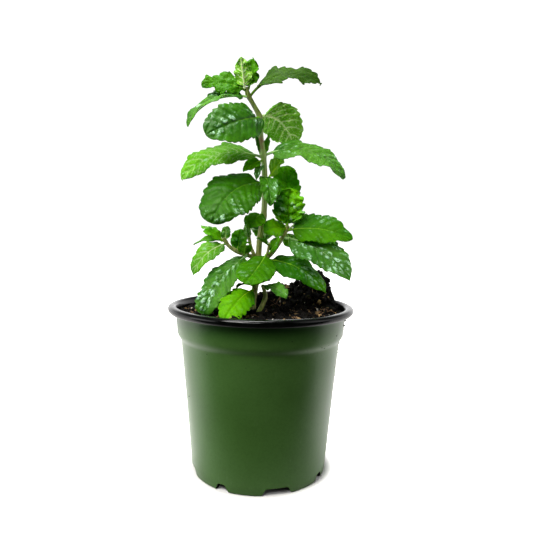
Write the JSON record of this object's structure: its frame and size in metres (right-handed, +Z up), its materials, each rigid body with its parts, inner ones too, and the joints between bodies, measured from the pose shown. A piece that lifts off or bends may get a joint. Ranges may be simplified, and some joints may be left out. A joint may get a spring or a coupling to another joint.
{
  "type": "potted herb plant",
  "caption": "Young mint plant with crinkled toothed leaves on a slender leaning stem, growing in potting mix in a round tapered nursery pot with a rolled black lip.",
  "frame": {"origin": "the pot's axis where it meets the floor, at the level of the foot ring", "axes": "+Z up the pot's axis towards the plant's tip, -Y towards the viewer of the front, +X to the viewer's right"},
  "size_m": [0.114, 0.114, 0.2518],
  "materials": {
    "pot_plastic": "satin green thermoformed plastic, black inside and at the lip",
    "potting_mix": "dark moist peat with bark and perlite",
    "stem": "ribbed green to tan herb stem",
    "leaf": "matte to waxy crinkled green leaf",
    "leaf_young": "bright yellow-green young leaf"
  },
  "bodies": {
    "root": {"pot": "pot_plastic", "soil": "potting_mix", "main_stem": "stem", "right_branch": "stem", "left_branch": "stem", "side_shoot": "stem", "centre_twig": "stem", "front_shoot_left": "stem", "front_shoot_right": "stem", "leaf_tip_left": "leaf", "leaf_tip_right": "leaf", "leaf_tip_young": "leaf_young", "leaf_a_left": "leaf", "leaf_a_right": "leaf", "leaf_b_left": "leaf", "leaf_b_right": "leaf", "leaf_c_left": "leaf", "leaf_c_right": "leaf", "leaf_axil_left": "leaf", "leaf_axil_right": "leaf", "leaf_small_pale": "leaf", "leaf_folded": "leaf", "leaf_d": "leaf_young", "leaf_e": "leaf", "leaf_f": "leaf", "leaf_small_oval": "leaf", "leaf_g_tall": "leaf", "leaf_g_crinkled": "leaf", "leaf_g_young": "leaf_young", "leaf_g_left": "leaf", "leaf_g_back": "leaf", "leaf_h_upper": "leaf", "leaf_h_lower": "leaf", "leaf_i": "leaf", "leaf_j": "leaf", "leaf_k": "leaf", "leaf_l": "leaf_young", "leaf_m": "leaf", "leaf_n": "leaf", "leaf_o_front": "leaf", "leaf_o_back": "leaf", "leaf_o_bright": "leaf_young", "leaf_o_under": "leaf", "leaf_o_silver": "leaf", "leaf_o_strip": "leaf_young", "leaf_o_dark": "leaf", "leaf_o_curl": "leaf", "leaf_p": "leaf", "leaf_p_small": "leaf", "leaf_q": "leaf", "leaf_rear_high": "leaf", "leaf_rear_mid": "leaf", "leaf_rear_right": "leaf", "leaf_rear_low": "leaf", "leaf_rear_left": "leaf", "leaf_rear_branch": "leaf"}
  },
  "joints": []
}
